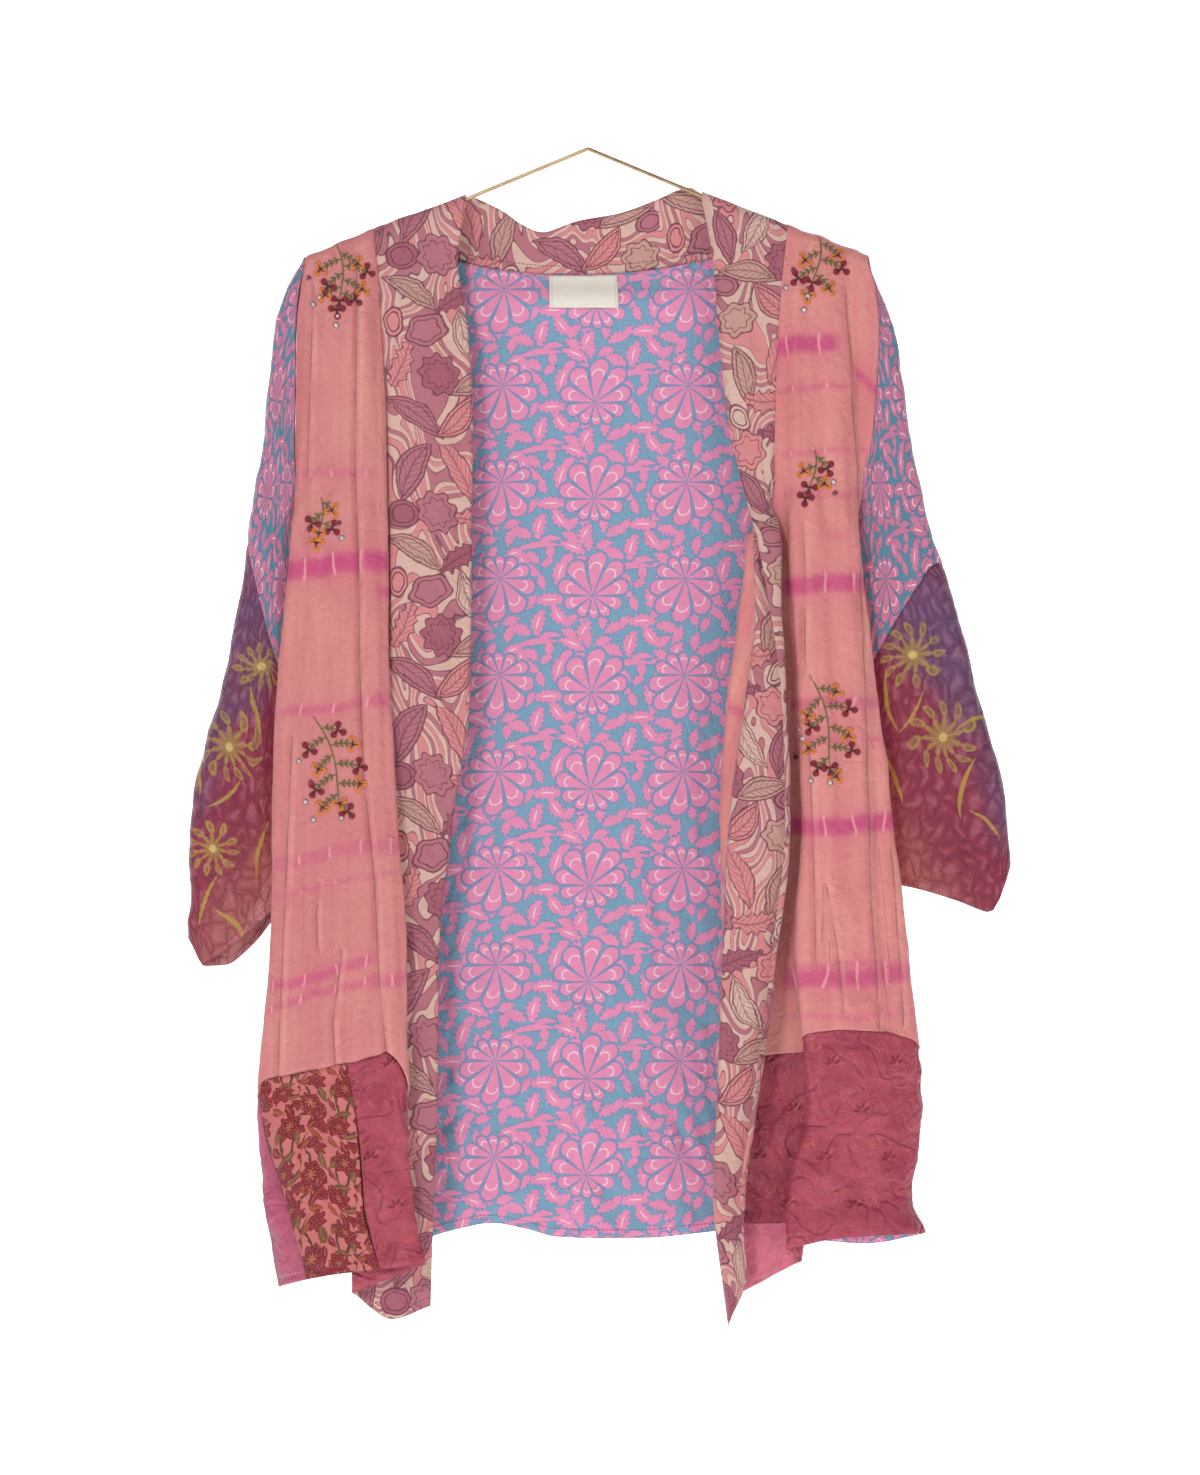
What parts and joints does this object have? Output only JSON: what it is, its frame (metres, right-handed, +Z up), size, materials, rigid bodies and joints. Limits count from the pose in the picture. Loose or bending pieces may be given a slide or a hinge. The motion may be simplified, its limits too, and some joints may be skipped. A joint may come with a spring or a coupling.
{
  "type": "silk kimono on wire hanger",
  "caption": "Open-front patchwork silk kimono with a printed neckband and embroidered fronts, hung on a bent brass wire hanger.",
  "frame": {"origin": "apex of the wire hanger", "axes": "+X to the viewer's right, the front of the kimono faces -Y, +Z up"},
  "size_m": [0.6592, 0.0759, 0.94],
  "materials": {
    "back_print": "blue silk with a pink flower print",
    "pink_silk": "salmon pink silk with magenta tie-dye bands and embroidery",
    "mauve_silk": "plain mauve pink silk",
    "floral_silk": "pink silk with a red and olive flower print",
    "raspberry_silk": "raspberry silk with small embroidered flowers",
    "pale_pink_silk": "pale pink silk",
    "band_print": "beige silk with plum outlined leaves and flowers",
    "batik_silk": "violet and rose batik silk with olive yellow flowers",
    "label": "blank woven label",
    "brass_wire": "satin brass wire"
  },
  "bodies": {
    "root": {"back_panel": "back_print", "front_left": "pink_silk", "front_right": "pink_silk", "hem_left_plain": "mauve_silk", "hem_left_floral": "floral_silk", "hem_left_raspberry": "raspberry_silk", "hem_right_raspberry": "raspberry_silk", "hem_right_valley": "raspberry_silk", "hem_right_inner": "pale_pink_silk", "band_left": "band_print", "band_neck": "band_print", "band_right": "band_print", "sleeve_left_top": "back_print", "sleeve_right_top": "back_print", "sleeve_left_low": "batik_silk", "sleeve_right_low": "batik_silk", "neck_label": "label", "hanger": "brass_wire"}
  },
  "joints": []
}
